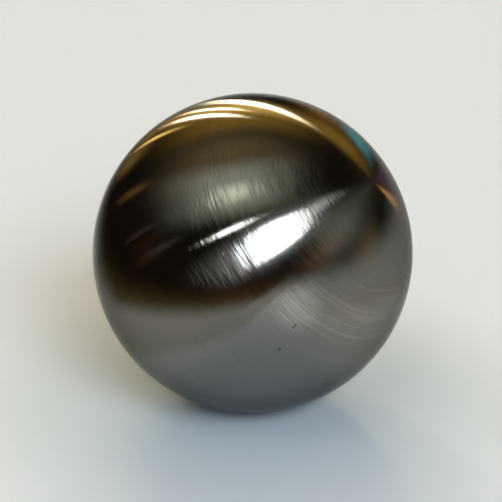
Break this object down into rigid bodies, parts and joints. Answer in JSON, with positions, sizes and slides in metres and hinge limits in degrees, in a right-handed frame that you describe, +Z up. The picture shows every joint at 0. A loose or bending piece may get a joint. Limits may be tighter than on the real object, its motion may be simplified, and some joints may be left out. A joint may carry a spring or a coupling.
{
  "type": "tungsten sphere",
  "caption": "Solid turned tungsten ball with a fine brushed finish, used as a dense desk weight or display piece.",
  "frame": {"origin": "centre of the ball", "axes": "+Z up as the ball lies, -Y towards the viewer, +X to the viewer's right"},
  "size_m": [0.05, 0.05, 0.05],
  "materials": {
    "turned_tungsten": "turned and brushed along the turning marks, dark grey, semi-bright"
  },
  "bodies": {
    "root": {"ball": "turned_tungsten"}
  },
  "joints": []
}
